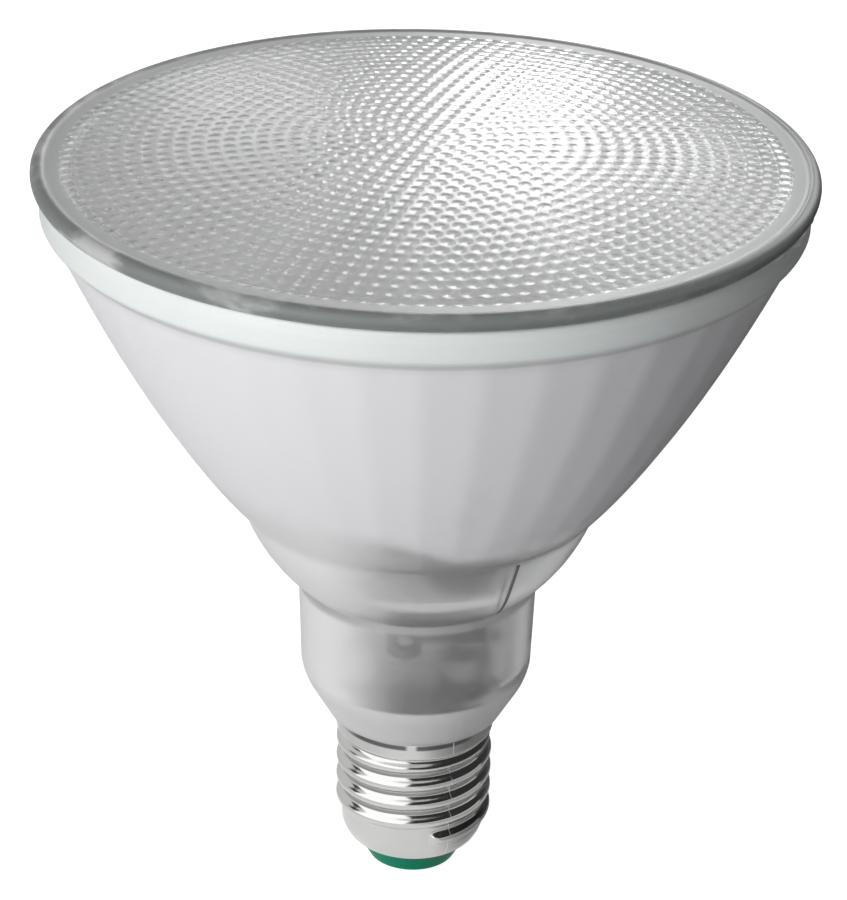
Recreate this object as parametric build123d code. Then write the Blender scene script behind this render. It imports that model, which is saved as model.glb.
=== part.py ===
from build123d import *
import math
import os

# Reflector lamp with a domed, pressed front lens, a facetted bowl and a screw cap, all sizes in millimetres.
# The lamp stands on its centre contact with the lens upwards.
# Z is its axis and -Y is the side that is seen first.

# Screw cap
contact_radius = 4.8
contact_height = 1.0
contact_bevel = 0.4
insulator_exposed = 4.4
insulator_foot_radius = 7.1
insulator_edge_bevel = 0.5
insulator_plug_height = 3.0
shell_length = 24.2
shell_wall = 0.35
shell_mouth_radius = 10.0
shell_shoulder_height = 2.6
shell_shoulder_bulge = 0.35
shell_shoulder_chords = 4
skirt_radius = 13.2
skirt_length = 2.9
thread_inset = 0.1
thread_depth = 1.0
thread_pitch = 3.629
thread_ridges = 4
thread_crest_width = 0.9

# Glass body
glass_wall = 2.0
cement_thickness = 0.4
foot_gap = 0.3
foot_ledge = 1.95
cone_height = 6.6
shoulder_inset = 0.9
shoulder_round = 3.0
neck_low_radius = 19.1
neck_flare = 0.55
neck_rise = 18.9
lower_bowl_height = 15.1
lower_bowl_bulge = 1.3
facet_count = 40
facet_base_radius = 29.9
facet_base_step = 0.5
parabola_focal_length = 13.0
bowl_height = 47.5
bowl_stations = 6
flange_overhang = 2.2
flange_height = 5.2
flange_underside = 2.0
flange_edge_bevel = 0.6

# Front lens
seal_height = 0.4
seal_width = 3.0
seal_inset = 0.6
lens_overhang = 1.3
lens_undercut = 0.6
lens_rim_height = 2.3
lens_bulge_height = 1.035
lens_rim_chords = 4
lens_rim_width = 2.2
lens_land_width = 2.1
lens_dome = 3.5
lens_thickness = 3.0

# Fluorescent tube and its holder
leg_count = 6
leg_radius = 4.6
leg_first_azimuth = 25.0
leg_rise = 50.0
leg_tip_bevel = 1.8
bridge_radius = 2.4
bridge_drop = 5.5
collar_wall = 0.7
collar_height = 6.0
holder_above_crease = 4.9
holder_thickness = 2.5
holder_rim = 1.4
tab_gap = 0.35
tab_thickness = 1.5
tab_count = 3
tab_azimuth = -6.4
tab_width = 5.2
tab_end_round = 1.56
tab_length = 11.9
tab_window_width = 2.9
tab_window_height = 2.4
tab_window_rise = 2.8

# Ballast
carrier_thickness = 2.6
carrier_rise = 1.0
carrier_sleeve_gap = 1.95
carrier_sleeve_wall = 1.4
carrier_sleeve_length = 7.0
slot_depth = 1.2
board_thickness = 1.6
board_front_offset = 6.0
board_edge_gap = 0.2
board_height = 17.0
choke_width = 9.8
choke_depth = 6.6
choke_height = 7.4
choke_left = 1.0
choke_drop = 4.6
choke_yoke = 1.5
choke_limb = 1.3
choke_bobbin_rim = 1.0
choke_winding_margin = 0.3
bobbin_wall = 0.5
bobbin_gap = 0.1
bulk_radius = 2.9
bulk_height = 7.6
bulk_groove_depth = 0.29
bulk_groove_low = 0.9
bulk_groove_height = 0.76
bulk_from_fuse = 5.6
film_width = 7.4
film_depth = 3.6
film_height = 6.4
film_round = 0.9
film_from_edge = 5.8
film_rise = 2.0
toroid_radius = 4.0
toroid_bore = 2.0
toroid_height = 3.6
toroid_wire = 0.4
toroid_band = 1.8
toroid_bulge = 0.5
toroid_across = 0.0
toroid_rise = 12.4
transistor_width = 4.6
transistor_depth = 3.6
transistor_height = 5.2
transistor_edge_bevel = 1.26
transistor_spacing = 9.0
transistor_rise = 8.0
diode_radius = 1.3
diode_length = 5.0
diode_spacing = 4.2
diode_rise = 1.0
fuse_radius = 1.3
fuse_length = 7.0
fuse_from_edge = 3.2
fuse_rise = 3.0

# Wires
wire_radius = 0.45
lead_radius = 0.5
lead_spread = 3.0
lead_bend = 1.5
filament_spread = 1.4
filament_landing = 6.0
filament_drop = 1.6

# Clearances between pieces that aren't bonded
clearance = 0.3
fit_gap = 0.15

# Levels, from the contact upwards
insulator_bottom = contact_height
shell_bottom = insulator_bottom + insulator_exposed
shell_top = shell_bottom + shell_length
skirt_bottom = shell_top - skirt_length
foot_level = shell_top + foot_gap
shoulder_level = foot_level + cone_height
neck_top = shoulder_level + neck_rise
bowl_base = neck_top + lower_bowl_height
bowl_top = bowl_base + bowl_height
flange_bottom = bowl_top + flange_underside
flange_top = flange_bottom + flange_height
lens_seat = flange_top + seal_height
lens_edge = lens_seat + lens_rim_height

thread_crest_radius = skirt_radius - thread_inset
thread_root_radius = thread_crest_radius - thread_depth
tail_radius = skirt_radius - shell_wall - cement_thickness
tail_length = skirt_length + foot_gap - clearance
tail_bore = tail_radius - glass_wall
foot_radius = tail_radius + foot_ledge
shoulder_radius = neck_low_radius - shoulder_inset
neck_top_radius = neck_low_radius + neck_flare
inner_neck_radius = neck_low_radius - glass_wall
lower_bowl_radius = facet_base_radius - facet_base_step
flange_radius = math.sqrt(facet_base_radius ** 2 + 4 * parabola_focal_length * bowl_height) + flange_overhang
lens_radius = flange_radius + lens_overhang
lens_low_radius = lens_radius - lens_undercut
lens_land_radius = lens_radius - lens_rim_width
lens_field_radius = lens_land_radius - lens_land_width
tab_circle_radius = inner_neck_radius - tab_gap
carrier_top = shoulder_level + carrier_rise
carrier_sleeve_radius = tail_bore - carrier_sleeve_gap
board_bottom = carrier_top - slot_depth + fit_gap
board_face = -board_front_offset
board_back = board_face + board_thickness
board_top = board_bottom + board_height
board_width = 2 * (math.sqrt(inner_neck_radius ** 2 - board_front_offset ** 2) - board_edge_gap)
fuse_across = board_width / 2 - fuse_from_edge
bulk_across = fuse_across - bulk_from_fuse
film_across = film_from_edge - board_width / 2
holder_bottom = neck_top + holder_above_crease
holder_top = holder_bottom + holder_thickness


def revolved(points):
    """Turns a closed outline of (radius, height) points round the axis."""
    outline = Polyline(*points, close=True)
    return revolve(Plane.XZ * make_face(outline), Axis.Z)


def revolved_edges(edges):
    """Turns a closed outline made of lines, arcs and splines round the axis."""
    return revolve(Plane.XZ * make_face(edges), Axis.Z)


def upright_cylinder(radius, low, high, x=0.0, y=0.0):
    """A cylinder along Z between two levels."""
    height = high - low
    return Pos(x, y, low + height / 2) * Cylinder(radius, height)


def block(x0, x1, y0, y1, z0, z1):
    """A box between two corners."""
    centre = Pos((x0 + x1) / 2, (y0 + y1) / 2, (z0 + z1) / 2)
    return centre * Box(x1 - x0, y1 - y0, z1 - z0)


def azimuth_point(radius, azimuth):
    """A point in plan; azimuth 0 is the front, and it grows towards +X."""
    angle = math.radians(azimuth)
    return radius * math.sin(angle), -radius * math.cos(angle)


def parabola_radius(level):
    """Radius of the reflector's parabola at a level."""
    rise = level - bowl_base
    return math.sqrt(facet_base_radius ** 2 + 4 * parabola_focal_length * rise)


def bowl_profile(wall):
    """Points of the bowl's outline at even levels, moved inwards by a wall measured square to it."""
    points = []
    for step in range(bowl_stations):
        level = bowl_base + bowl_height * step / (bowl_stations - 1)
        radius = parabola_radius(level)
        slope = 2 * parabola_focal_length / radius
        points.append((radius - wall * math.hypot(1, slope), level))
    return points


def bulge_middle(start, end, bulge):
    """The middle of an arc from start to end that bulges outwards and down."""
    dx = end[0] - start[0]
    dz = end[1] - start[1]
    length = math.hypot(dx, dz)
    x = (start[0] + end[0]) / 2 + bulge * dz / length
    z = (start[1] + end[1]) / 2 - bulge * dx / length
    return x, z


def lower_bowl_inside(level):
    """Inner radius of the lower bowl, from the chord of its wall and its bulge."""
    low = (neck_top_radius, neck_top)
    high = (lower_bowl_radius, bowl_base)
    share = (level - neck_top) / lower_bowl_height
    chord = low[0] + (high[0] - low[0]) * share
    lean = math.hypot(high[0] - low[0], lower_bowl_height) / lower_bowl_height
    bow = 4 * lower_bowl_bulge * share * (1 - share)
    return chord + (bow - glass_wall) * lean


# Screw cap

def shell_shoulder(inset):
    """Points up the rounded shoulder between the shell's mouth and its thread, moved inwards."""
    mouth = (shell_mouth_radius - inset, shell_bottom)
    root = (thread_root_radius - inset, shell_bottom + shell_shoulder_height)
    arc = ThreePointArc(mouth, bulge_middle(mouth, root, shell_shoulder_bulge), root)
    points = [arc @ (step / shell_shoulder_chords) for step in range(shell_shoulder_chords + 1)]
    return [(point.X, point.Y) for point in points]


def centre_contact():
    """Brass plate that the lampholder's spring presses on."""
    plate = upright_cylinder(contact_radius, 0, contact_height)
    return chamfer(plate.edges().group_by(Axis.Z)[0], contact_bevel)


def cap_insulator():
    """Glass plug that keeps the contact clear of the shell."""
    plug_radius = thread_root_radius - shell_wall
    shoulder_top = shell_bottom + shell_shoulder_height
    outline = [
        (0, insulator_bottom),
        (insulator_foot_radius, insulator_bottom),
        *shell_shoulder(shell_wall),
        (plug_radius, shoulder_top + insulator_plug_height - shell_shoulder_height / 2),
        (0, shoulder_top + insulator_plug_height - shell_shoulder_height / 2),
    ]
    body = revolved(outline)
    foot = body.edges().filter_by(GeomType.CIRCLE).group_by(Axis.Z)[0]
    body = chamfer(foot, insulator_edge_bevel)
    return body - upright_cylinder(lead_radius + fit_gap, 0, skirt_bottom)


def cap_shell():
    """Rolled metal shell: rounded mouth, ridged thread zone and plain skirt."""
    points = shell_shoulder(0)
    flank = (thread_pitch - 2 * thread_crest_width) / 2
    zone = thread_ridges * thread_pitch
    start = skirt_bottom - flank - zone
    for ridge in range(thread_ridges):
        low = start + ridge * thread_pitch
        points.append((thread_root_radius, low))
        points.append((thread_crest_radius, low + flank))
        points.append((thread_crest_radius, low + flank + thread_crest_width))
        points.append((thread_root_radius, low + 2 * flank + thread_crest_width))
    points.append((thread_root_radius, skirt_bottom - flank / 2))
    points.append((skirt_radius, skirt_bottom))
    points.append((skirt_radius, shell_top))
    points.append((skirt_radius - shell_wall, shell_top))
    points.append((skirt_radius - shell_wall, skirt_bottom))
    points.append((thread_root_radius - shell_wall, skirt_bottom - flank / 2))
    points += reversed(shell_shoulder(shell_wall))
    return revolved(points)


def cap_cement():
    """Ring of cement that bonds the glass tail into the skirt."""
    low = skirt_bottom + clearance
    high = shell_top - clearance
    ring = upright_cylinder(skirt_radius - shell_wall, low, high)
    return ring - upright_cylinder(tail_radius, low - 1, high + 1)


# Glass body

def facet_strips(points):
    """Strips that are flat across and follow the outline upwards, one to each facet."""
    step = 360 / facet_count
    stretch = 1 / math.cos(math.radians(step / 2))
    corner = Plane.XZ * Spline(*[(radius * stretch, level) for radius, level in points])
    corners = [Rot(0, 0, step * index) * corner for index in range(facet_count)]
    return [
        Face.make_surface_from_curves(corners[index - 1].edge(), corners[index].edge())
        for index in range(facet_count)
    ]


def facet_rim(radius, level):
    """The polygon that the facets' edges make at one level."""
    step = 360 / facet_count
    corner_radius = radius / math.cos(math.radians(step / 2))
    corners = []
    for index in range(facet_count):
        angle = math.radians(step * index)
        corners.append((corner_radius * math.cos(angle), corner_radius * math.sin(angle), level))
    return Wire.make_polygon(corners, close=True)


def facetted_bowl():
    """Bowl of flat facets, open at both ends, with a wall of even thickness."""
    outer = bowl_profile(0)
    inner = bowl_profile(glass_wall)
    faces = facet_strips(outer) + facet_strips(inner)
    for end in (0, -1):
        faces.append(Face(facet_rim(*outer[end]), [facet_rim(*inner[end])]))
    bowl = Solid(Shell(faces))
    if bowl.volume < 0:
        bowl = Solid(-Shell(faces))
    return bowl


def reflector_flange():
    """Flat-topped collar round the bowl's mouth, on which the lens is sealed."""
    inside = bowl_profile(glass_wall)[-1][0]
    outside = bowl_profile(0)[-1][0]
    outline = [
        (inside, bowl_top),
        (outside, bowl_top),
        (flange_radius, flange_bottom),
        (flange_radius, flange_top),
        (inside, flange_top),
    ]
    collar = revolved(outline)
    rim = collar.edges().filter_by(GeomType.CIRCLE).sort_by(SortBy.RADIUS)[-2:]
    return chamfer(rim, flange_edge_bevel)


def neck_and_foot():
    """Lower bowl, neck, cone and tail, blown in one with the facetted bowl."""
    crease = (neck_top_radius, neck_top)
    brim = (lower_bowl_radius, bowl_base)
    inner_brim = (lower_bowl_inside(bowl_base), bowl_base)
    inner_crease = (lower_bowl_inside(neck_top), neck_top)
    outer_middle = bulge_middle(crease, brim, lower_bowl_bulge)
    inner_middle = bulge_middle(inner_crease, inner_brim, lower_bowl_bulge)
    tail_bottom = foot_level - tail_length
    shoulder = (shoulder_radius, shoulder_level)
    cone_lean = (shoulder_radius - foot_radius) / cone_height
    inner_foot = foot_radius - glass_wall * math.hypot(1, cone_lean)
    outline = [
        Line((tail_bore, tail_bottom), (tail_radius, tail_bottom)),
        Line((tail_radius, tail_bottom), (tail_radius, foot_level)),
        Line((tail_radius, foot_level), (foot_radius, foot_level)),
        Line((foot_radius, foot_level), shoulder),
        Line(shoulder, (neck_low_radius, shoulder_level + shoulder_round)),
        Line((neck_low_radius, shoulder_level + shoulder_round), crease),
        ThreePointArc(crease, outer_middle, brim),
        Line(brim, inner_brim),
        ThreePointArc(inner_brim, inner_middle, inner_crease),
        Line(inner_crease, (inner_neck_radius, shoulder_level + shoulder_round)),
        Line((inner_neck_radius, shoulder_level + shoulder_round), (tail_bore, foot_level + foot_gap)),
        Line((tail_bore, foot_level + foot_gap), (tail_bore, tail_bottom)),
    ]
    return revolved_edges(outline)


def reflector_body():
    """The lamp's glass body in one piece."""
    return facetted_bowl().fuse(reflector_flange(), neck_and_foot())


# Front lens

def lens_seal():
    """Bead of silicone between the flange and the lens."""
    outside = flange_radius - seal_inset
    ring = upright_cylinder(outside, flange_top, lens_seat)
    return ring - upright_cylinder(outside - seal_width, flange_top - 1, lens_seat + 1)


def front_lens():
    """Pressed lens: rounded rim, plain land and a shallow dome."""
    crown = lens_edge + lens_dome
    under_edge = lens_land_radius - seal_width
    under_crown = crown - lens_thickness
    bulge_level = lens_seat + lens_bulge_height
    rim = ThreePointArc(
        (lens_land_radius, lens_edge), (lens_radius, bulge_level), (lens_low_radius, lens_seat)
    )
    outline = [
        Line((0, under_crown), (0, crown)),
        domed((0, crown), (lens_field_radius, lens_edge)),
        Line((lens_field_radius, lens_edge), (lens_land_radius, lens_edge)),
        Polyline(*[rim @ (step / lens_rim_chords) for step in range(lens_rim_chords + 1)]),
        Line((lens_low_radius, lens_seat), (under_edge, lens_seat)),
        domed((under_edge, lens_seat), (0, under_crown)),
    ]
    return revolved_edges(outline)


def domed(start, end):
    """Shallow arc between a point on the axis and one away from it, level where it meets the axis."""
    (crown, edge) = (start, end) if start[0] == 0 else (end, start)
    reach = edge[0]
    drop = crown[1] - edge[1]
    radius = (reach ** 2 + drop ** 2) / (2 * drop)
    half = reach / 2
    middle = (half, crown[1] - radius + math.sqrt(radius ** 2 - half ** 2))
    return ThreePointArc(start, middle, end)


# Fluorescent tube and its holder

def leg_places():
    """Plan positions of the tube's legs, whose collars stand inside the holder's rim."""
    circle = lower_bowl_inside(holder_top) - clearance - holder_rim - collar_wall - leg_radius
    step = 360 / leg_count
    return [azimuth_point(circle, leg_first_azimuth + step * index) for index in range(leg_count)]


def bridge(start, end, level):
    """Short cross tube that joins two legs."""
    dx = end[0] - start[0]
    dy = end[1] - start[1]
    turn = math.degrees(math.atan2(dy, dx))
    middle = Pos((start[0] + end[0]) / 2, (start[1] + end[1]) / 2, level)
    return middle * Rot(0, 0, turn) * Rot(0, 90, 0) * Cylinder(bridge_radius, math.hypot(dx, dy))


def fluorescent_tube():
    """Folded discharge tube: legs joined in pairs at the tips and pair to pair at the foot."""
    places = leg_places()
    tip = holder_top + leg_rise
    legs = []
    for x, y in places:
        leg = upright_cylinder(leg_radius, holder_bottom, tip, x, y)
        legs.append(chamfer(leg.edges().group_by(Axis.Z)[-1], leg_tip_bevel))
    bridges = []
    for index in range(leg_count - 1):
        at_tip = index % 2 == 0
        level = tip - bridge_drop if at_tip else holder_top + collar_height + bridge_drop
        bridges.append(bridge(places[index], places[index + 1], level))
    return legs[0].fuse(*legs[1:], *bridges)


def tube_collars():
    """Cement collars that hold the legs on the holder."""
    collars = []
    for x, y in leg_places():
        ring = upright_cylinder(leg_radius + collar_wall, holder_top, holder_top + collar_height, x, y)
        bore = upright_cylinder(leg_radius, holder_top - 1, holder_top + collar_height + 1, x, y)
        collars.append(ring - bore)
    return Compound(collars)


def holder_tab():
    """Snap tab that hangs from the holder's plate, rounded at its end and with an oval window."""
    middle = holder_bottom - tab_length / 2
    tongue = Rectangle(tab_width, tab_length)
    tongue = fillet(tongue.vertices().group_by(Axis.Y)[0], tab_end_round)
    window = Pos(0, tab_window_rise - tab_length / 2) * SlotOverall(tab_window_width, tab_window_height)
    blade = extrude(Plane.XZ * (tongue - window), tab_thickness)
    return Pos(0, tab_thickness - tab_circle_radius, middle) * blade


def tube_holder():
    """Plastic plate across the lower bowl, with a hole for each leg and snap tabs."""
    top_radius = lower_bowl_inside(holder_top) - clearance
    low_radius = lower_bowl_inside(holder_bottom) - clearance
    plate = revolved(
        [(0, holder_bottom), (low_radius, holder_bottom), (top_radius, holder_top), (0, holder_top)]
    )
    tabs = [Rot(0, 0, tab_azimuth + 360 / tab_count * index) * holder_tab() for index in range(tab_count)]
    holder = plate.fuse(*tabs)
    for x, y in leg_places():
        holder -= upright_cylinder(leg_radius + fit_gap, holder_bottom - 1, holder_top + 1, x, y)
    return holder


# Ballast

def ballast_carrier():
    """Funnel that sits in the glass cone, holds the board in a slot and leads the wires into the cap."""
    lean = (inner_neck_radius - tail_bore) / (cone_height + shoulder_round - foot_gap)
    top_radius = inner_neck_radius - lean * (shoulder_level + shoulder_round - carrier_top) - fit_gap
    low = carrier_top - carrier_thickness
    bore = carrier_sleeve_radius - carrier_sleeve_wall
    funnel = revolved([
        (bore, low - carrier_sleeve_length),
        (carrier_sleeve_radius, low - carrier_sleeve_length),
        (carrier_sleeve_radius, low),
        (top_radius - lean * carrier_thickness, low),
        (top_radius, carrier_top),
        (bore, carrier_top),
    ])
    reach = board_width / 2 + fit_gap
    slot = block(
        -reach,
        reach,
        board_face - fit_gap / 2,
        board_back + fit_gap / 2,
        carrier_top - slot_depth,
        carrier_top + 1,
    )
    return funnel - slot


def circuit_board():
    """Upright board across the neck, with its lower corners cut to clear the cone."""
    corner = shoulder_level + shoulder_round - board_bottom + fit_gap
    middle = board_bottom + board_height / 2
    outline = Rectangle(board_width, board_height)
    outline = chamfer(outline.vertices().group_by(Axis.Y)[0], corner)
    board = extrude(Plane.XZ * outline, board_thickness)
    return Pos(0, board_back, middle) * board


def choke_frame():
    """The choke's middle, and the span of the windows round its middle leg."""
    x = choke_left + choke_width / 2
    y = board_face - choke_depth / 2
    z = board_top - choke_drop + choke_height / 2
    half_window = choke_width / 2 - choke_limb
    half_height = choke_height / 2 - choke_yoke
    return x, y, z, half_window, half_height


def choke_core():
    """Ferrite core with a middle leg between two windows."""
    x, y, z, half_window, half_height = choke_frame()
    half_depth = choke_depth / 2 - choke_bobbin_rim
    core = block(
        x - choke_width / 2,
        x + choke_width / 2,
        y - half_depth,
        y + half_depth,
        z - choke_height / 2,
        z + choke_height / 2,
    )
    for side in (-1, 1):
        near = x + side * choke_limb
        far = x + side * half_window
        core -= block(
            min(near, far),
            max(near, far),
            y - half_depth - 1,
            y + half_depth + 1,
            z - half_height,
            z + half_height,
        )
    return core


def choke_ring(outer_x, outer_y, inner_x, inner_y, low, high):
    """A square-cornered ring round the choke's middle leg."""
    x, y, _, _, _ = choke_frame()
    ring = block(x - outer_x, x + outer_x, y - outer_y, y + outer_y, low, high)
    return ring - block(x - inner_x, x + inner_x, y - inner_y, y + inner_y, low - 1, high + 1)


def bobbin_sizes():
    """Half sizes of the bobbin's bore, tube and flanges, and its levels."""
    _, _, z, half_window, half_height = choke_frame()
    bore = (choke_limb + bobbin_gap, choke_depth / 2 - choke_bobbin_rim + bobbin_gap)
    tube = (bore[0] + bobbin_wall, bore[1] + bobbin_wall)
    flange = (half_window - bobbin_gap, choke_depth / 2)
    return bore, tube, flange, z - half_height + bobbin_gap, z + half_height - bobbin_gap


def choke_bobbin():
    """Plastic bobbin: a tube round the middle leg between two flanges."""
    bore, tube, flange, low, high = bobbin_sizes()
    body = choke_ring(*tube, *bore, low, high)
    body += choke_ring(*flange, *bore, low, low + bobbin_wall)
    return body + choke_ring(*flange, *bore, high - bobbin_wall, high)


def choke_winding():
    """Wire wound on the bobbin, as one solid coil."""
    _, tube, flange, low, high = bobbin_sizes()
    coil = (flange[0] - choke_winding_margin, flange[1] - choke_winding_margin)
    return choke_ring(*coil, *tube, low + bobbin_wall, high - bobbin_wall)


def bulk_capacitor():
    """Upright can with a rolled groove near its foot."""
    y = board_face - bulk_radius - fit_gap
    groove_top = bulk_groove_low + bulk_groove_height
    can = revolved([
        (0, 0),
        (bulk_radius, 0),
        (bulk_radius, bulk_groove_low),
        (bulk_radius - bulk_groove_depth, (bulk_groove_low + groove_top) / 2),
        (bulk_radius, groove_top),
        (bulk_radius, bulk_height),
        (0, bulk_height),
    ])
    return Pos(bulk_across, y, carrier_top) * can


def film_capacitor():
    """Dipped block capacitor on the board's front."""
    low = board_bottom + slot_depth + film_rise
    half = film_width / 2
    back = board_face - film_depth
    body = block(film_across - half, film_across + half, back, board_face, low, low + film_height)
    front = body.faces().sort_by(Axis.Y)[0]
    return fillet(front.edges(), film_round)


def toroid_place():
    """Where the drive transformer lies on the board's back."""
    return Pos(toroid_across, board_back + toroid_height / 2, board_bottom + toroid_rise) * Rot(90, 0, 0)


def toroid_core():
    """Ring core of the drive transformer, flat on the board."""
    ring = Cylinder(toroid_radius, toroid_height - 2 * toroid_wire)
    return toroid_place() * (ring - Cylinder(toroid_bore, toroid_height))


def toroid_windings():
    """Three windings, each a band round the ring's section."""
    middle = (toroid_radius + toroid_bore) / 2
    reach = (toroid_radius - toroid_bore) / 2
    outer = Box(2 * (reach + toroid_wire) + toroid_bulge, toroid_band, toroid_height)
    inner = Box(2 * reach + toroid_bulge, toroid_band + 1, toroid_height - 2 * toroid_wire)
    band = Pos(middle, 0, 0) * (outer - inner)
    return Compound([toroid_place() * Rot(0, 0, 120 * index) * band for index in range(3)])


def transistors():
    """Two switching transistors on the board's back, with one flat side each."""
    low = board_bottom + transistor_rise
    bodies = []
    for side in (-1, 1):
        middle = side * transistor_spacing
        body = block(
            middle - transistor_width / 2,
            middle + transistor_width / 2,
            board_back,
            board_back + transistor_depth,
            low,
            low + transistor_height,
        )
        back = body.faces().sort_by(Axis.Y)[-1].edges().filter_by(Axis.Z)
        bodies.append(chamfer(back, transistor_edge_bevel))
    return Compound(bodies)


def rectifier_diodes():
    """Four diodes in a row under the transistors."""
    y = board_back + diode_radius + fit_gap
    z = board_bottom + slot_depth + diode_rise + diode_length / 2
    row = []
    for index in range(4):
        x = diode_spacing * (index - 1.5)
        row.append(Pos(x, y, z) * Cylinder(diode_radius, diode_length))
    return Compound(row)


def fuse_resistor():
    """Fusible resistor that lies upright on the board's front."""
    y = board_face - fuse_radius - fit_gap
    low = board_bottom + slot_depth + fuse_rise
    return upright_cylinder(fuse_radius, low, low + fuse_length, fuse_across, y)


# Wires

def wire(radius, points):
    """Round wire along straight runs."""
    path = Polyline(*points)
    start = Plane(points[0], z_dir=path % 0)
    return sweep(start * Circle(radius), path=path, transition=Transition.RIGHT)


def live_lead():
    """Wire from the board's foot, down the axis and through the insulator to the contact."""
    y = (board_face + board_back) / 2
    across = -lead_spread
    low = carrier_top - carrier_thickness - carrier_sleeve_length
    plug_top = shell_bottom + shell_shoulder_height + insulator_plug_height
    route = [(across, y, board_bottom), (across, y, low), (0, 0, plug_top), (0, 0, contact_height)]
    return wire(lead_radius, route)


def neutral_lead():
    """Wire from the board's foot, under the glass tail to the inside of the shell."""
    y = (board_face + board_back) / 2
    across = lead_spread
    tail_bottom = foot_level - tail_length
    bend = tail_bottom - lead_bend
    reach = (thread_root_radius - shell_wall - clearance) / math.hypot(across, y)
    end = (across * reach, y * reach, bend - lead_bend)
    return wire(lead_radius, [(across, y, board_bottom), (across, y, bend), end])


def filament_leads():
    """A pair of wires from each end of the tube to the board's top edge."""
    places = leg_places()
    y = (board_face + board_back) / 2
    level = holder_bottom - filament_drop
    leads = []
    for place, side in ((places[0], 1), (places[-1], -1)):
        for offset in (-filament_spread, filament_spread):
            foot = (place[0] + offset, place[1], holder_bottom)
            turn = (place[0] + offset, place[1], level)
            above = (side * filament_landing + offset, y, level)
            landing = (side * filament_landing + offset, y, board_top)
            leads.append(wire(wire_radius, [foot, turn, above, landing]))
    return Compound(leads)


PIECES = (
    centre_contact,
    cap_insulator,
    cap_shell,
    cap_cement,
    reflector_body,
    lens_seal,
    front_lens,
    fluorescent_tube,
    tube_collars,
    tube_holder,
    ballast_carrier,
    circuit_board,
    choke_core,
    choke_bobbin,
    choke_winding,
    bulk_capacitor,
    film_capacitor,
    toroid_core,
    toroid_windings,
    transistors,
    rectifier_diodes,
    fuse_resistor,
    live_lead,
    neutral_lead,
    filament_leads,
)

os.makedirs("parts", exist_ok=True)
for piece in PIECES:
    export_step(piece(), "parts/" + piece.__name__ + ".step")
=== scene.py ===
"""Reflector lamp with a stippled lens, a silvered and frosted glass body and a screw cap.

Lengths in the shape settings are millimetres, as on a maker's drawing. Azimuths run from the front (-Y)
towards the right (+X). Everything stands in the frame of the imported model, with the lamp's axis along Z.
"""
import math

import bpy
import numpy as np
from mathutils import Matrix, Vector


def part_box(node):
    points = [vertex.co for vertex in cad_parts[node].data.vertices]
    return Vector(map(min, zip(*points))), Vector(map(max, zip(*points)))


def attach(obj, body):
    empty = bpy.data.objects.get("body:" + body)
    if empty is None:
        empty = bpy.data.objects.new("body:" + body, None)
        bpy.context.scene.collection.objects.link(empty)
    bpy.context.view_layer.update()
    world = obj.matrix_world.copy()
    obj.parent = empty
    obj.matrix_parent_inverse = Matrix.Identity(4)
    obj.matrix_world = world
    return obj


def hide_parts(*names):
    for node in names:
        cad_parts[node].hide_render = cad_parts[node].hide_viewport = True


bl_info = {
    "name": "Reflector Lamp",
    "version": (1, 0, 0),
    "blender": (4, 5, 0),
    "location": "View3D > Sidebar > Lamp",
    "description": "Dresses the solid model of a reflector lamp and sets up its studio",
    "category": "Object",
}

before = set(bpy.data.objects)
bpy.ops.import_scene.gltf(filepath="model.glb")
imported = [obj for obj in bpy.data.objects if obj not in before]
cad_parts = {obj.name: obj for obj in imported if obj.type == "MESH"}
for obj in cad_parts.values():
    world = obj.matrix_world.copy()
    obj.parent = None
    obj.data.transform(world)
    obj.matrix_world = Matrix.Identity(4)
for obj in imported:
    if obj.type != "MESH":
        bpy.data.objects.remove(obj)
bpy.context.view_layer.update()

MM = 0.001
BODY = "root"
FULL_TURN = 2 * math.pi


class LampLensSettings(bpy.types.PropertyGroup):
    """Sizes of the pressed front lens, in millimetres."""

    radius: bpy.props.FloatProperty(name="Radius", description="Widest radius of the rim", default=61.45)
    low_radius: bpy.props.FloatProperty(
        name="Seat radius", description="Radius of the rim's foot", default=60.9
    )
    land_radius: bpy.props.FloatProperty(
        name="Land radius", description="Outer radius of the plain land", default=59.3
    )
    field_radius: bpy.props.FloatProperty(name="Field radius", description="Edge of the dome", default=57.2)
    seat: bpy.props.FloatProperty(name="Seat level", description="Level of the rim's foot", default=125.6)
    edge: bpy.props.FloatProperty(name="Edge level", description="Level of the plain land", default=127.9)
    dome: bpy.props.FloatProperty(name="Dome", description="Rise of the dome above the land", default=3.5)
    thickness: bpy.props.FloatProperty(name="Thickness", description="Glass at the middle", default=3.0)
    seat_width: bpy.props.FloatProperty(
        name="Seat width", description="Width of the flat foot", default=3.0
    )
    ring_pitch: bpy.props.FloatProperty(
        name="Ring pitch", description="Step between rings of dimples", default=2.55
    )
    ring_count: bpy.props.IntProperty(
        name="Rings", description="Rings of dimples round the middle one", default=22
    )
    ring_start: bpy.props.FloatProperty(
        name="Ring start", description="Azimuth of each ring's first dimple", default=math.radians(-19.0),
        subtype="ANGLE",
    )
    dimple_radius: bpy.props.FloatProperty(
        name="Dimple radius", description="Radius of one dimple", default=1.1
    )
    dimple_depth: bpy.props.FloatProperty(
        name="Dimple depth", description="Depth of one dimple", default=0.12
    )
    grain: bpy.props.FloatProperty(name="Grain", description="Size of the lens mesh's cells", default=0.36)


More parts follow.
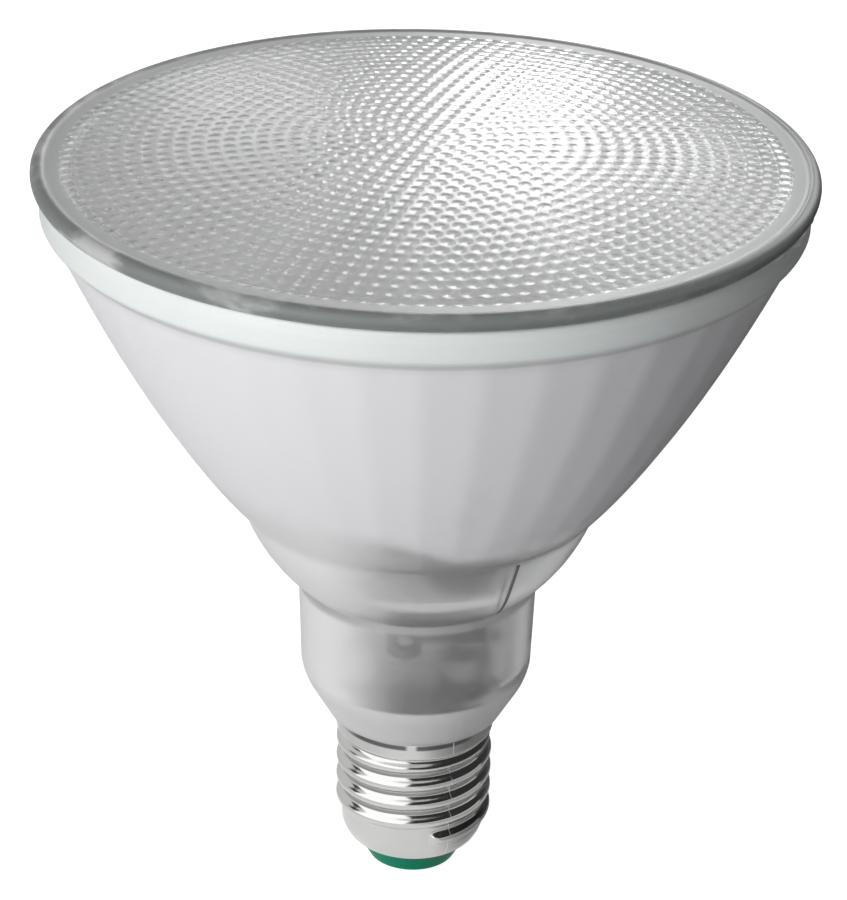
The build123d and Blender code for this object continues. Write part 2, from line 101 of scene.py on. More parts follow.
class LampCapSettings(bpy.types.PropertyGroup):
    """Sizes of the screw shell, in millimetres."""

    bottom: bpy.props.FloatProperty(
        name="Mouth level", description="Level of the shell's lower mouth", default=5.4
    )
    top: bpy.props.FloatProperty(
        name="Top level", description="Level of the shell's upper edge", default=29.6
    )
    mouth_radius: bpy.props.FloatProperty(
        name="Mouth radius", description="Radius at the lower mouth", default=10.0
    )
    root_radius: bpy.props.FloatProperty(
        name="Root radius", description="Radius between the ridges", default=12.1
    )
    crest_radius: bpy.props.FloatProperty(
        name="Crest radius", description="Radius on the ridges", default=13.1
    )
    skirt_radius: bpy.props.FloatProperty(
        name="Skirt radius", description="Radius of the plain skirt", default=13.2
    )
    skirt_length: bpy.props.FloatProperty(
        name="Skirt length", description="Height of the plain skirt", default=2.9
    )
    wall: bpy.props.FloatProperty(name="Wall", description="Thickness of the sheet", default=0.35)
    pitch: bpy.props.FloatProperty(name="Pitch", description="Rise of one turn", default=3.629)
    first_crest: bpy.props.FloatProperty(
        name="First crest", description="Level of the first turn at the front", default=10.2
    )
    start: bpy.props.FloatProperty(
        name="Thread start", description="Azimuth where the ridge begins", default=math.radians(14.5),
        subtype="ANGLE",
    )
    seam: bpy.props.FloatProperty(
        name="Seam", description="Azimuth of the seam down the sheet", default=math.radians(30.0),
        subtype="ANGLE",
    )
    fade_in: bpy.props.FloatProperty(
        name="Fade in", description="Turn over which the ridge begins", default=math.radians(7.0),
        subtype="ANGLE",
    )
    squareness: bpy.props.FloatProperty(
        name="Squareness", description="How flat crest and root are", default=1.0
    )
    run_out: bpy.props.FloatProperty(
        name="Run-out", description="Level where the ridge ends in the skirt", default=26.0
    )


class LampBodySettings(bpy.types.PropertyGroup):
    """Sizes of the glass body, in millimetres."""

    wall: bpy.props.FloatProperty(name="Wall", description="Thickness of the glass", default=2.0)
    tail_radius: bpy.props.FloatProperty(
        name="Tail radius", description="Radius inside the cap", default=12.45
    )
    tail_bottom: bpy.props.FloatProperty(
        name="Tail bottom", description="Lowest level of the glass", default=27.0
    )
    foot_level: bpy.props.FloatProperty(
        name="Foot level", description="Level of the ledge above the cap", default=29.9
    )
    foot_radius: bpy.props.FloatProperty(
        name="Foot radius", description="Radius of the ledge", default=14.4
    )
    shoulder_level: bpy.props.FloatProperty(
        name="Shoulder level", description="Top of the cone", default=36.5
    )
    shoulder_radius: bpy.props.FloatProperty(
        name="Shoulder radius", description="Radius at the cone's top", default=18.2
    )
    shoulder_round: bpy.props.FloatProperty(
        name="Shoulder round", description="Height of the round above the cone", default=3.0
    )
    neck_low_radius: bpy.props.FloatProperty(
        name="Neck foot radius", description="Radius at the neck's foot", default=19.1
    )
    neck_top_radius: bpy.props.FloatProperty(
        name="Neck top radius", description="Radius at the crease", default=19.65
    )
    neck_top: bpy.props.FloatProperty(
        name="Crease level", description="Level of the crease over the neck", default=55.4
    )
    bowl_base: bpy.props.FloatProperty(
        name="Bowl base", description="Level where the facets begin", default=70.5
    )
    lower_bowl_radius: bpy.props.FloatProperty(
        name="Lower bowl radius", description="Radius at its brim", default=29.4
    )
    lower_bowl_bulge: bpy.props.FloatProperty(
        name="Lower bowl bulge", description="Bulge of its wall", default=1.3
    )
    base_radius: bpy.props.FloatProperty(
        name="Facet base radius", description="Radius where the facets begin", default=29.9
    )
    focal_length: bpy.props.FloatProperty(
        name="Focal length", description="Focal length of the parabola", default=13.0
    )
    bowl_top: bpy.props.FloatProperty(
        name="Bowl top", description="Level where the facets end", default=118.0
    )
    flange_radius: bpy.props.FloatProperty(
        name="Flange radius", description="Radius of the flange", default=60.2
    )
    flange_bottom: bpy.props.FloatProperty(
        name="Flange bottom", description="Lower level of the flange's wall", default=120.0
    )
    flange_top: bpy.props.FloatProperty(
        name="Flange top", description="Level of the flange's face", default=125.2
    )
    flange_bevel: bpy.props.FloatProperty(
        name="Flange bevel", description="Round on the flange's edges", default=0.6
    )
    facets: bpy.props.IntProperty(name="Facets", description="Strips round the bowl", default=40)
    silver_left: bpy.props.FloatProperty(
        name="Silver edge, left", description="Level of the coat's edge on the left", default=79.5
    )
    silver_right: bpy.props.FloatProperty(
        name="Silver edge, right", description="Level of the coat's edge on the right", default=75.3
    )


class LampFinishSettings(bpy.types.PropertyGroup):
    """Colours of the lamp's finishes."""

    satin_white: bpy.props.FloatVectorProperty(
        name="Satin white", description="Outside of the silvered bowl", subtype="COLOR", size=3,
        default=(0.79, 0.79, 0.815),
    )
    flange_white: bpy.props.FloatVectorProperty(
        name="Flange white", description="Upright flange under the lens", subtype="COLOR", size=3,
        default=(0.74, 0.775, 0.77),
    )
    frosted: bpy.props.FloatVectorProperty(
        name="Frosted glass", description="Lower bowl and neck", subtype="COLOR", size=3,
        default=(0.86, 0.86, 0.87),
    )
    clearness: bpy.props.FloatProperty(
        name="Clearness", description="Share of light that the frosted glass lets through",
        subtype="FACTOR", min=0.0, max=1.0, default=0.84,
    )
    silver: bpy.props.FloatVectorProperty(
        name="Silver coat", description="Inside of the bowl", subtype="COLOR", size=3,
        default=(0.86, 0.86, 0.855),
    )
    lens_tint: bpy.props.FloatVectorProperty(
        name="Lens glass", description="Tint of the lens", subtype="COLOR", size=3,
        default=(0.97, 0.98, 0.975),
    )
    land: bpy.props.FloatVectorProperty(
        name="Lens land", description="Plain ring round the dimples", subtype="COLOR", size=3,
        default=(0.68, 0.7, 0.69),
    )
    rim_dark: bpy.props.FloatVectorProperty(
        name="Rim, dark", description="Clear parts of the lens rim", subtype="COLOR", size=3,
        default=(0.2, 0.22, 0.21),
    )
    # The pale colour of the rim is a painted reflection.
    rim_pale_reflection: bpy.props.FloatVectorProperty(
        name="Rim, pale", description="Cloudy parts of the lens rim", subtype="COLOR", size=3,
        default=(0.56, 0.57, 0.56),
    )
    nickel: bpy.props.FloatVectorProperty(
        name="Nickel", description="Plated cap", subtype="COLOR", size=3,
        default=(0.8, 0.795, 0.78),
    )
    insulator: bpy.props.FloatVectorProperty(
        name="Insulator", description="Insulator at the cap's end", subtype="COLOR", size=3,
        default=(0.0, 0.25, 0.14),
    )


class LampStudioSettings(bpy.types.PropertyGroup):
    """Camera and lights of the studio."""

    camera_place: bpy.props.FloatVectorProperty(
        name="Camera place", description="Where the camera stands", subtype="TRANSLATION", unit="LENGTH",
        size=3,
        default=(0.0, -0.50199, 0.32399),
    )
    camera_pitch: bpy.props.FloatProperty(
        name="Camera pitch", description="How far the camera looks down",
        subtype="ANGLE", default=0.4567,
    )
    camera_yaw: bpy.props.FloatProperty(
        name="Camera yaw", description="How far the camera looks to the right",
        subtype="ANGLE", default=0.0011,
    )
    camera_roll: bpy.props.FloatProperty(
        name="Camera roll", description="How far the camera leans to the left",
        subtype="ANGLE", default=0.0217,
    )
    camera_lens: bpy.props.FloatProperty(
        name="Focal length", description="Focal length on a sensor 36 mm wide",
        subtype="DISTANCE_CAMERA", default=146.6,
    )


def sheet_mesh(name, loops, closed=False, marks=None):
    """Joins a stack of closed loops of points, given in millimetres, into one smooth surface.

    Each loop is an array of points in even steps of azimuth and may have its own count: a loop of one
    point is a pole. Between two loops a zip of triangles advances on whichever loop has the nearer next
    point, so a loop's step i / n is matched with the other's step j / m. With closed, the last loop joins
    the first. Marks, one to a loop, become the attribute "inner".
    """
    counts = [len(loop) for loop in loops]
    starts = np.concatenate([[0], np.cumsum(counts)])
    pairs = [(k, k + 1) for k in range(len(loops) - 1)]
    if closed:
        pairs.append((len(loops) - 1, 0))
    triangles = []
    for low, high in pairs:
        n, m = counts[low], counts[high]
        if n > 1:
            i = np.arange(n)
            j = ((i + 1) * m) // n
            corners = [starts[low] + i, starts[low] + (i + 1) % n, starts[high] + j % m]
            triangles.append(np.stack(corners, axis=1))
        if m > 1:
            j = np.arange(m)
            i = -(-(j + 1) * n // m) - 1 if n > 1 else np.zeros(m, int)
            corners = [starts[low] + i % n, starts[high] + (j + 1) % m, starts[high] + j]
            triangles.append(np.stack(corners, axis=1))
    faces = np.concatenate(triangles)
    points = np.concatenate(loops) * MM
    mesh = bpy.data.meshes.new(name)
    mesh.vertices.add(len(points))
    mesh.vertices.foreach_set("co", points.ravel())
    mesh.loops.add(faces.size)
    mesh.loops.foreach_set("vertex_index", faces.ravel().astype(np.int32))
    mesh.polygons.add(len(faces))
    mesh.polygons.foreach_set("loop_start", np.arange(0, faces.size, 3, dtype=np.int32))
    mesh.polygons.foreach_set("loop_total", np.full(len(faces), 3, dtype=np.int32))
    mesh.polygons.foreach_set("use_smooth", np.ones(len(faces), dtype=bool))
    if marks is not None:
        inner = mesh.attributes.new("inner", "FLOAT", "POINT")
        inner.data.foreach_set("value", np.repeat(np.array(marks, np.float32), counts))
    mesh.update(calc_edges=True)
    mesh.validate()
    piece = bpy.data.objects.new(name, mesh)
    bpy.context.scene.collection.objects.link(piece)
    return piece


def even_turn(count):
    """Azimuths of count even steps round the axis, in radians."""
    return np.arange(count) * FULL_TURN / count


def ring_of(radius, level, count):
    """A level circle in count even steps of azimuth a: x = r sin a, y = -r cos a and z = level."""
    turn = even_turn(count)
    radius = np.broadcast_to(radius, count)
    level = np.broadcast_to(level, count)
    return np.stack([radius * np.sin(turn), -radius * np.cos(turn), level], axis=1)


def pole_at(level):
    """A loop of one point on the axis."""
    return np.array([[0.0, 0.0, level]])


def even_profile(corners, step):
    """Points about one step apart along a chain of (radius, level) corners, keeping every corner."""
    points = []
    for start, end in zip(corners[:-1], corners[1:]):
        start, end = np.array(start, float), np.array(end, float)
        pieces = max(1, int(round(np.linalg.norm(end - start) / step)))
        share = np.arange(pieces)[:, None] / pieces
        points.append(start + (end - start) * share)
    points.append(np.array([corners[-1]], float))
    return np.concatenate(points)


def arc_through(start, middle, end, count):
    """Points on the circle through three (radius, level) points, evenly spaced from start to end."""
    (ax, ay), (bx, by), (cx, cy) = start, middle, end
    double_area = 2 * (ax * (by - cy) + bx * (cy - ay) + cx * (ay - by))
    a2, b2, c2 = ax * ax + ay * ay, bx * bx + by * by, cx * cx + cy * cy
    centre_x = (a2 * (by - cy) + b2 * (cy - ay) + c2 * (ay - by)) / double_area
    centre_y = (a2 * (cx - bx) + b2 * (ax - cx) + c2 * (bx - ax)) / double_area
    angles = np.unwrap([math.atan2(y - centre_y, x - centre_x) for x, y in (start, middle, end)])
    angle = np.linspace(angles[0], angles[2], count)
    radius = math.hypot(ax - centre_x, ay - centre_y)
    return np.stack([centre_x + radius * np.cos(angle), centre_y + radius * np.sin(angle)], axis=1)


def dress(piece, material):
    """Gives a new piece its material and the body that it rides on."""
    piece.data.materials.clear()
    piece.data.materials.append(material)
    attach(piece, BODY)


def dress_node(node, material):
    """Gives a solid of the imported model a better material."""
    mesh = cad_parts[node].data
    mesh.materials.clear()
    mesh.materials.append(material)


class Paint:
    """A procedural material on Object coordinates: a Principled shader, and short calls that add nodes."""

    def __init__(self, name):
        self.material = bpy.data.materials.new(name)
        self.material.use_nodes = True
        self.tree = self.material.node_tree
        self.tree.nodes.clear()
        self.shader = self.node("ShaderNodeBsdfPrincipled")
        self.output = self.node("ShaderNodeOutputMaterial")
        self.link(self.shader.outputs["BSDF"], self.output.inputs["Surface"])
        self.place = self.node("ShaderNodeTexCoord").outputs["Object"]

    def node(self, kind, **values):
        """Adds a node and sets its properties."""
        node = self.tree.nodes.new(kind)
        for key, value in values.items():
            setattr(node, key, value)
        return node

    def link(self, source, target):
        """Joins an output to an input."""
        self.tree.links.new(source, target)

    def feed(self, socket, value):
        """Links an output to a socket, or sets a constant on it."""
        if isinstance(value, bpy.types.NodeSocket):
            self.link(value, socket)
        elif socket.type == "RGBA":
            socket.default_value = (*value, 1.0)
        else:
            socket.default_value = value

    def set(self, **values):
        """Sets or links the shader's sockets, named with underscores for spaces."""
        for key, value in values.items():
            socket = self.shader.inputs[key.replace("_", " ")]
            self.feed(socket, value)

    def math(self, operation, *values):
        """One step of arithmetic on numbers or outputs."""
        node = self.node("ShaderNodeMath", operation=operation)
        for socket, value in zip(node.inputs, values):
            self.feed(socket, value)
        return node.outputs["Value"]

    def axes(self):
        """The three Object coordinates, in metres."""
        split = self.node("ShaderNodeSeparateXYZ")
        self.link(self.place, split.inputs["Vector"])
        return split.outputs["X"], split.outputs["Y"], split.outputs["Z"]

    def ramp(self, value, low, high):
        """0 at low, 1 at high, smooth between; low may lie above high."""
        node = self.node("ShaderNodeMapRange", interpolation_type="SMOOTHSTEP")
        self.feed(node.inputs["Value"], value)
        turned = low > high
        self.feed(node.inputs["From Min"], high if turned else low)
        self.feed(node.inputs["From Max"], low if turned else high)
        self.feed(node.inputs["To Min"], 1.0 if turned else 0.0)
        self.feed(node.inputs["To Max"], 0.0 if turned else 1.0)
        return node.outputs["Result"]

    def noise(self, scale, detail=3.0, roughness=0.5, stretch=(1, 1, 1)):
        """Noise with about scale cells to the metre, squeezed along each axis by stretch."""
        mapping = self.node("ShaderNodeMapping")
        self.link(self.place, mapping.inputs["Vector"])
        mapping.inputs["Scale"].default_value = stretch
        texture = self.node("ShaderNodeTexNoise")
        self.link(mapping.outputs["Vector"], texture.inputs["Vector"])
        texture.inputs["Scale"].default_value = scale
        texture.inputs["Detail"].default_value = detail
        texture.inputs["Roughness"].default_value = roughness
        return texture.outputs["Fac"]

    def spread(self, value, low, high):
        """Moves a value that runs from 0 to 1 into a range."""
        node = self.node("ShaderNodeMapRange")
        self.feed(node.inputs["Value"], value)
        self.feed(node.inputs["To Min"], low)
        self.feed(node.inputs["To Max"], high)
        return node.outputs["Result"]

    def blend_value(self, share, first, second):
        """A number between two, by share."""
        node = self.node("ShaderNodeMix", data_type="FLOAT")
        self.feed(node.inputs[0], share)
        self.feed(node.inputs[2], first)
        self.feed(node.inputs[3], second)
        return node.outputs[0]

    def blend(self, share, first, second):
        """A colour between two, by share."""
        node = self.node("ShaderNodeMix", data_type="RGBA")
        self.feed(node.inputs["Factor"], share)
        self.feed(node.inputs[6], first)
        self.feed(node.inputs[7], second)
        return node.outputs[2]

    def bump(self, height, distance, strength=1.0):
        """Relief from a height that runs from 0 to 1, distance in metres."""
        node = self.node("ShaderNodeBump")
        self.link(height, node.inputs["Height"])
        node.inputs["Distance"].default_value = distance
        node.inputs["Strength"].default_value = strength
        self.link(node.outputs["Normal"], self.shader.inputs["Normal"])

    def azimuth(self):
        """Azimuth in radians from the front towards the right."""
        x, y, _ = self.axes()
        return self.math("ARCTAN2", x, self.math("MULTIPLY", y, -1.0))

    def radius(self):
        """Distance from the axis, in metres."""
        x, y, _ = self.axes()
        square = self.math("MULTIPLY_ADD", x, x, self.math("MULTIPLY", y, y))
        return self.math("SQRT", square)

    def distance(self, value, place):
        """How far a value lies from a place, either way."""
        return self.math("ABSOLUTE", self.math("SUBTRACT", value, place))


def lens_glass(finish, lens):
    """Pressed glass, clear in the dome and dulled on the land, with a darker rim whose pale patches,
    strongest on the left, are a painted reflection.
    """
    paint = Paint("pressed lens glass")
    rim = paint.ramp(paint.radius(), (lens.land_radius - 0.3) * MM, (lens.land_radius + 0.5) * MM)
    land = paint.ramp(paint.radius(), (lens.field_radius - 0.5) * MM, (lens.field_radius + 0.2) * MM)
    # Pale patches on the rim: a painted reflection, strongest on the left, where the light comes from.
    cloud = paint.ramp(paint.noise(45.0, 4.0, 0.6, stretch=(1, 1, 3)), 0.47, 0.62)
    left = paint.ramp(paint.azimuth(), 0.1, -0.35)
    cloud = paint.math("MULTIPLY", cloud, paint.spread(left, 0.5, 1.0))
    under = paint.node("ShaderNodeAttribute", attribute_name="inner").outputs["Fac"]
    face = paint.blend(land, finish.lens_tint, finish.land)
    edge = paint.blend(cloud, finish.rim_dark, finish.rim_pale_reflection)
    clear = paint.spread(land, 0.85, 0.5)
    paint.set(
        Base_Color=paint.blend(rim, face, edge),
        Roughness=paint.math("MULTIPLY_ADD", under, 0.2, paint.spread(land, 0.15, 0.36)),
        IOR=1.5,
        Transmission_Weight=paint.math("MULTIPLY", clear, paint.spread(rim, 1.0, 0.4)),
    )
    paint.bump(paint.noise(160.0, 2.0), 0.00006, 0.35)
    return paint.material


def body_glass(finish, body):
    """One glass wall with four zones: flange, silvered bowl, frosted lower part and dense cone.

    The coat's edge is a level that differs from left to right and wavers a little. Above it the outside
    is satin white and the inside is silver, up to the seat of the lens, where the glass is bare. The
    frosting is denser on the left and just under the neck's crease, where its colour is also darkened as a
    painted shadow. A dark band in the fold under the flange is painted shade.
    """
    paint = Paint("silvered and frosted glass")
    x, _, z = paint.axes()
    side = paint.ramp(x, -0.006, 0.008)
    edge = paint.spread(side, body.silver_left * MM, body.silver_right * MM)
    waver = paint.spread(paint.noise(60.0, 3.0), -0.0022, 0.0022)
    above = paint.math("SUBTRACT", z, paint.math("ADD", edge, waver))
    coated = paint.ramp(above, -0.0028, 0.0032)
    seat = paint.ramp(z, (body.bowl_top - 0.5) * MM, (body.bowl_top - 1.5) * MM)
    inner = paint.node("ShaderNodeAttribute", attribute_name="inner").outputs["Fac"]
    silvered = paint.math("MULTIPLY", inner, paint.math("MULTIPLY", coated, seat))
    flange = paint.ramp(z, (body.bowl_top + 0.6) * MM, (body.bowl_top + 1.6) * MM)
    satin = paint.blend(flange, finish.satin_white, finish.flange_white)
    # A dark band in the fold under the flange: painted shade.
    flange_crease_shade = paint.ramp(paint.distance(z, (body.bowl_top + 1.1) * MM), 0.0007, 0.0002)
    satin = paint.blend(paint.math("MULTIPLY", flange_crease_shade, 0.3), satin, (0.3, 0.3, 0.31))
    smudge = paint.ramp(paint.noise(38.0, 4.0, 0.6, stretch=(1, 1, 0.5)), 0.56, 0.72)
    outside = paint.blend(coated, finish.frosted, satin)
    outside = paint.blend(paint.math("MULTIPLY", smudge, 0.12), outside, (0.45, 0.45, 0.46))
    # Just under the neck's crease the frosting is denser, and its colour is darkened as a painted shadow.
    under = paint.math("SUBTRACT", body.neck_top * MM, z)
    crease_frost_and_shadow = paint.math("MULTIPLY", paint.ramp(under, 0.0021, 0.0009), paint.ramp(under, 0.0, 0.0001))
    outside = paint.blend(paint.math("MULTIPLY", crease_frost_and_shadow, 0.4), outside, (0.36, 0.36, 0.37))
    wall = paint.blend(inner, outside, paint.blend(coated, (1.0, 1.0, 1.0), satin))
    dense = paint.ramp(z, (body.shoulder_level + 2.7) * MM, (body.shoulder_level + 1.7) * MM)
    veil = paint.ramp(x, 0.0, -0.016)
    open_share = paint.spread(veil, finish.clearness, 0.2)
    open_share = paint.blend_value(crease_frost_and_shadow, open_share, 0.42)
    clear = paint.math("MAXIMUM", paint.blend_value(dense, open_share, 0.3), inner)
    frosted = paint.spread(inner, 0.31, 0.02)
    rough = paint.math("MAXIMUM", frosted, paint.math("MULTIPLY", coated, 0.42))
    paint.set(
        Base_Color=paint.blend(silvered, wall, finish.silver),
        Metallic=silvered,
        Roughness=paint.math("MULTIPLY_ADD", silvered, -0.3, rough),
        IOR=1.45,
        Transmission_Weight=paint.math("MULTIPLY", clear, paint.math("SUBTRACT", 1.0, coated)),
    )
    paint.bump(paint.noise(700.0, 2.0), 0.00004, 0.25)
    return paint.material


def nickel(finish, cap):
    """Thin bright plating with faint rolling marks, dark valleys, a seam and a dark line under the top.

    The plain cone and skirt darken towards the right. This darkening and the dark valleys are painted
    shade, and the dark line under the top is a painted shadow below the glass foot's ledge.
    """
    paint = Paint("plated nickel")
    marks = paint.noise(900.0, 3.0, stretch=(1, 1, 0.15))
    x, _, z = paint.axes()
    azimuth = paint.azimuth()
    seam = paint.distance(azimuth, cap.seam)
    broken = paint.ramp(paint.noise(420.0, 1.0), 0.42, 0.5)
    on_seam = paint.math("MULTIPLY", paint.ramp(seam, 0.010, 0.004), broken)
    # The valleys between the ridges are darkened: painted shade.
    valley_shade = paint.ramp(paint.radius(), (cap.root_radius + 0.06) * MM, (cap.root_radius + 0.02) * MM)
    threaded = paint.ramp(z, (cap.bottom + 7.0) * MM, (cap.bottom + 8.0) * MM)
    valley_shade = paint.math("MULTIPLY", valley_shade, threaded)
    skirt = paint.ramp(z, (cap.top - 3.2) * MM, (cap.top - 2.2) * MM)
    plain = paint.math("MAXIMUM", skirt, paint.math("SUBTRACT", 1.0, threaded))
    # The plain cone and skirt darken towards the right: painted shade.
    shade = paint.math("MULTIPLY", plain, paint.ramp(x, 0.003, 0.0095))
    # A dark line under the top: painted shadow below the glass foot's ledge.
    line = paint.distance(z, (cap.top - 0.75) * MM)
    off = paint.distance(azimuth, -0.03)
    span = paint.math("MULTIPLY", paint.ramp(off, 0.035, 0.09), paint.ramp(off, 1.2, 0.7))
    line = paint.math("MULTIPLY", paint.ramp(line, 0.0006, 0.00025), span)
    dark = paint.math("MAXIMUM", paint.math("MULTIPLY", valley_shade, 0.55), paint.math("MULTIPLY", line, 0.85))
    dark = paint.math("MAXIMUM", dark, paint.math("MULTIPLY", shade, 0.6))
    plating = paint.blend(dark, finish.nickel, (0.06, 0.06, 0.062))
    paint.set(
        Base_Color=paint.blend(on_seam, plating, (0.95, 0.95, 0.93)),
        Metallic=1.0,
        Roughness=paint.math("MULTIPLY_ADD", on_seam, 0.35, paint.spread(marks, 0.1, 0.17)),
    )
    paint.bump(marks, 0.00002, 0.3)
    return paint.material


def insulator_green(finish):
    """Moulded green insulator with a soft gloss."""
    paint = Paint("green insulator")
    flow = paint.noise(300.0, 2.0)
    darker = tuple(0.9 * value for value in finish.insulator)
    paint.set(
        Base_Color=paint.blend(flow, darker, finish.insulator),
        Roughness=paint.spread(flow, 0.32, 0.42),
        Specular_IOR_Level=0.05,
    )
    paint.bump(paint.noise(1200.0, 2.0), 0.00002, 0.3)
    return paint.material


def plain_finish(name, colour, roughness, grain, relief=0.00003, metallic=0.0, change=0.15):
    """A moulded or painted finish whose colour and gloss vary gently with a noise of the given grain."""
    paint = Paint(name)
    cloud = paint.noise(grain, 3.0)
    darker = tuple((1 - change) * value for value in colour)
    paint.set(
        Base_Color=paint.blend(cloud, darker, colour),
        Roughness=paint.spread(cloud, max(0.0, roughness - 0.05), roughness + 0.05),
        Metallic=metallic,
    )
    paint.bump(paint.noise(grain * 4, 2.0), relief, 0.5)
    return paint.material


def collar_cement():
    """Cement in the tube's collars, paler on the other legs; the leg right of the front is darkened, a
    painted shade for the dark patch that shows there through the glass.
    """
    paint = Paint("tube cement")
    # Painted shade: the leg right of the front is darkened.
    off = paint.distance(paint.azimuth(), math.radians(25.0))
    shaded_leg = paint.ramp(off, math.radians(27.0), math.radians(20.0))
    grain = paint.noise(600.0, 3.0)
    pale = paint.blend(grain, (0.62, 0.62, 0.61), (0.7, 0.7, 0.69))
    dark = paint.blend(grain, (0.07, 0.07, 0.075), (0.11, 0.11, 0.115))
    paint.set(Base_Color=paint.blend(shaded_leg, pale, dark), Roughness=0.7)
    paint.bump(grain, 0.0002, 0.5)
    return paint.material


def holder_plastic(body):
    """White plastic of the holder's plate, nearly black on the tabs that hang below it."""
    paint = Paint("holder plastic")
    _, _, z = paint.axes()
    tabs = paint.ramp(z, (body.neck_top + 4.6) * MM, (body.neck_top + 3.6) * MM)
    cloud = paint.noise(400.0, 3.0)
    plate = paint.blend(cloud, (0.82, 0.82, 0.82), (0.88, 0.88, 0.88))
    paint.set(
        Base_Color=paint.blend(tabs, plate, (0.045, 0.045, 0.048)),
        Roughness=paint.spread(cloud, 0.45, 0.55),
    )
    paint.bump(cloud, 0.00003, 0.5)
    return paint.material


def board_laminate():
    """Pale board with a dark cut edge on its right."""
    paint = Paint("board laminate")
    x, _, _ = paint.axes()
    right = float(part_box("circuit_board")[1][0])
    cut = paint.ramp(x, right - 0.0011, right - 0.0007)
    cloud = paint.noise(700.0, 3.0)
    face = paint.blend(cloud, (0.52, 0.52, 0.49), (0.57, 0.57, 0.54))
    paint.set(
        Base_Color=paint.blend(cut, face, (0.07, 0.07, 0.065)),
        Roughness=paint.spread(cloud, 0.4, 0.5),
    )
    paint.bump(cloud, 0.00003, 0.5)
    return paint.material


def capacitor_can():
    """A can with a dark sleeve on its lower part and a paler one above."""
    paint = Paint("capacitor can")
    _, _, z = paint.axes()
    foot = float(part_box("bulk_capacitor")[0][2])
    upper = paint.ramp(z, foot + 0.0032, foot + 0.0048)
    cloud = paint.noise(200.0, 3.0)
    sleeve = paint.blend(cloud, (0.017, 0.019, 0.03), (0.02, 0.022, 0.035))
    paint.set(
        Base_Color=paint.blend(upper, sleeve, (0.26, 0.26, 0.26)),
        Roughness=paint.spread(upper, 0.3, 0.45),
    )
    paint.bump(cloud, 0.00003, 0.5)
    return paint.material


def wound_wire(name, colour, turns):
    """Enamelled wire: fine ridges stacked along Z, turns to the metre."""
    paint = Paint(name)
    _, _, z = paint.axes()
    ridge = paint.math("PINGPONG", paint.math("MULTIPLY", z, turns), 0.5)
    ridge = paint.math("MULTIPLY", ridge, 2.0)
    darker = tuple(0.45 * value for value in colour)
    paint.set(Base_Color=paint.blend(ridge, darker, colour), Roughness=0.35)
    paint.bump(ridge, 0.0001, 0.6)
    return paint.material


def lens_top(lens, radius, azimuth):
    """Level of the lens's face at a radius and azimuth.

    The dome is a sphere through the field's edge. Each ring k has 6 k dimples, evenly spaced from the
    ring's start, at k pitches from the middle. Within a dimple's radius a, the hollow is h = 1 - (d / a)
    squared, and the dimple takes away its depth times (1 + s) h squared / (h squared + s), which steepens
    its side, times a quarter plus three quarters of h, which keeps its floor round.
    """
    steepness = 0.06
    side_share = 0.25
    reach = lens.field_radius
    ball = (reach ** 2 + lens.dome ** 2) / (2 * lens.dome)
    level = lens.edge + lens.dome - ball + np.sqrt(ball ** 2 - np.minimum(radius, reach) ** 2)
    ring = np.clip(np.round(radius / lens.ring_pitch), 0, None)
    spots = np.maximum(6 * ring, 1)
    turn = (azimuth - lens.ring_start) / FULL_TURN * spots
    along = (turn - np.round(turn)) * FULL_TURN / spots * radius
    along = np.where(ring == 0, 0.0, along)
    across = radius - ring * lens.ring_pitch
    share = np.hypot(along, across) / lens.dimple_radius
    hollow = np.clip(1 - share ** 2, 0, None)
    side = (1 + steepness) * hollow ** 2 / (hollow ** 2 + steepness)
    floor = side_share + (1 - side_share) * hollow
    return level - np.where(ring <= lens.ring_count, lens.dimple_depth * side * floor, 0.0)


def build_lens(lens):
    """The pressed lens as one closed surface: dimpled dome, plain land, rounded rim, flat foot, inner dome.

    Every ring of the dome has a multiple of 6 points, about one grain apart. The inner dome is a sphere
    through the foot's inner edge.
    """
    edge_points = 360
    land_step, foot_step = 0.5, 1.5
    rim_points, under_points = 14, 24
    bulge_share = 0.45
    loops = [pole_at(float(lens_top(lens, np.array(0.0), np.array(0.0))))]
    steps = int(round(lens.field_radius / lens.grain))
    for step in range(1, steps + 1):
        radius = lens.field_radius * step / steps
        count = max(6, 6 * int(round(FULL_TURN * radius / lens.grain / 6)))
        level = lens_top(lens, np.full(count, radius), even_turn(count))
        loops.append(ring_of(radius, level, count))
    land_edge = (lens.land_radius, lens.edge)
    foot_edge = (lens.low_radius, lens.seat)
    inner_edge = lens.land_radius - lens.seat_width
    bulge = (lens.radius, lens.seat + bulge_share * (lens.edge - lens.seat))
    land = even_profile([(lens.field_radius, lens.edge), land_edge], land_step)[1:]
    rim = arc_through(land_edge, bulge, foot_edge, rim_points)[1:]
    foot = even_profile([foot_edge, (inner_edge, lens.seat)], foot_step)[1:]
    crown = lens.edge + lens.dome - lens.thickness
    drop = crown - lens.seat
    ball = (inner_edge ** 2 + drop ** 2) / (2 * drop)
    reach = np.linspace(inner_edge, 0, under_points)[1:-1]
    under = np.stack([reach, crown - ball + np.sqrt(ball ** 2 - reach ** 2)], axis=1)
    for radius, level in np.concatenate([land, rim, foot, under]):
        loops.append(ring_of(radius, level, edge_points))
    loops.append(pole_at(crown))
    marks = [0.0] * (len(loops) - len(under) - 1) + [1.0] * (len(under) + 1)
    return sheet_mesh("stippled_lens", loops[::-1], marks=marks[::-1])


